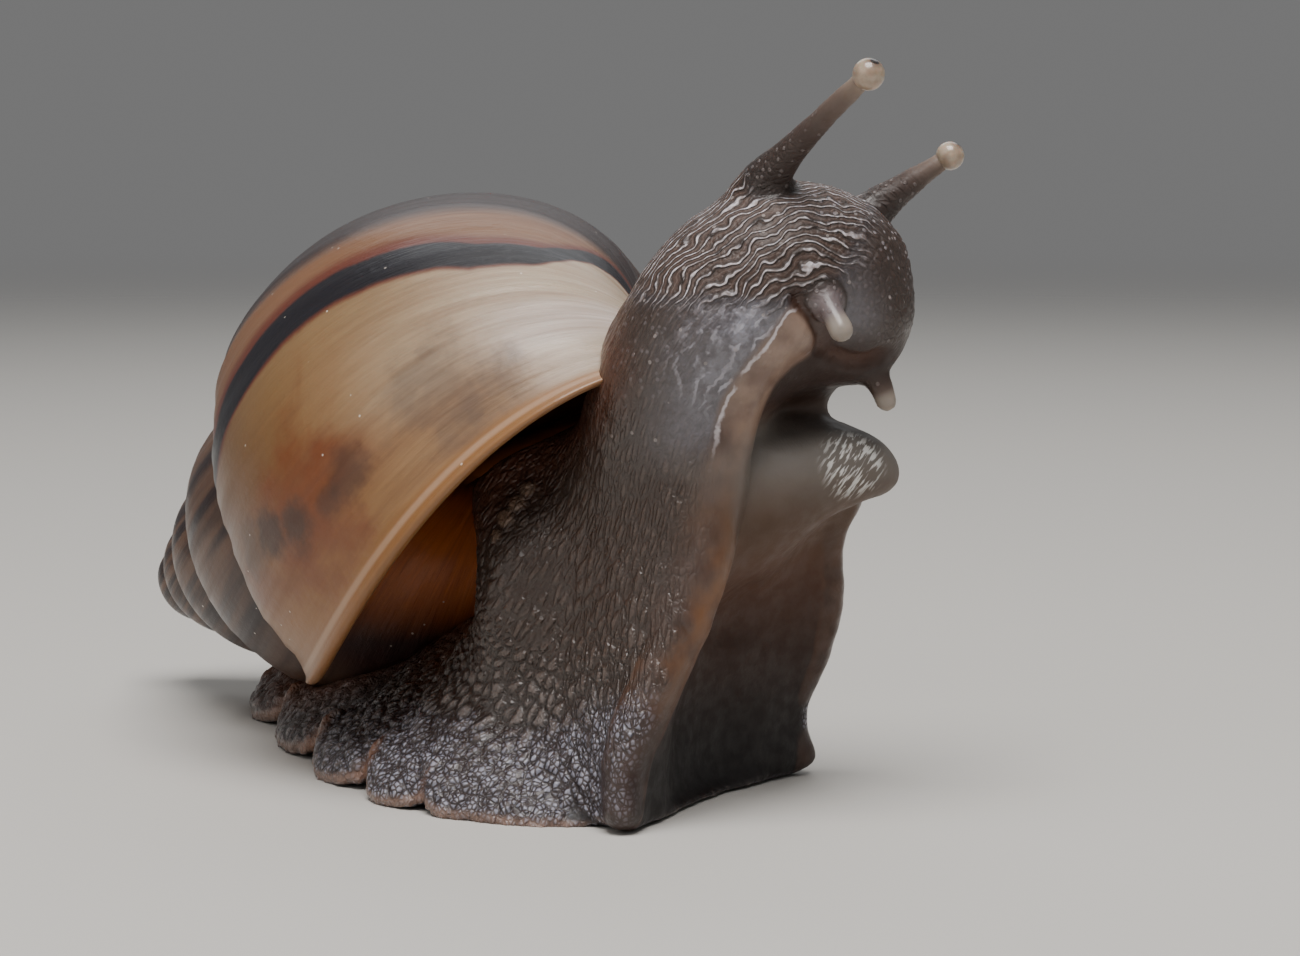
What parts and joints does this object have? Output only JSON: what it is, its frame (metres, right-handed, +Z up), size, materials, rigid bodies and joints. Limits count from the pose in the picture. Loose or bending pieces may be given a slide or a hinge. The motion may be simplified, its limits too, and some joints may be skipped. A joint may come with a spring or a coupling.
{
  "type": "giant african land snail model",
  "caption": "Life-size still model of a giant african land snail, its front raised off the floor as it feeds, shell on its back and feelers out.",
  "frame": {"origin": "On the floor, under the middle of the bounding box of the whole snail.", "axes": "+X is the way the snail heads, with the head, +Y is its left, +Z is up. The foot's sole lies on z = 0."},
  "size_m": [0.0814, 0.04, 0.0495],
  "materials": {
    "shell": "satin horn with brown patches and one dark growth band",
    "skin": "wet grey-brown skin with a net of tubercles, pale on the sole's margins",
    "eye": "glossy pale bulb with a small dark eye spot"
  },
  "bodies": {
    "root": {"shell": "shell", "feeler_upper_right": "skin", "eye_right": "eye", "feeler_upper_left": "skin", "eye_left": "eye", "feeler_lower_right": "skin", "feeler_lower_left": "skin", "tail": "skin", "foot_rear": "skin", "foot_front": "skin", "trunk": "skin", "foot_raised": "skin", "foot_lobe": "skin", "neck": "skin", "head": "skin"}
  },
  "joints": []
}
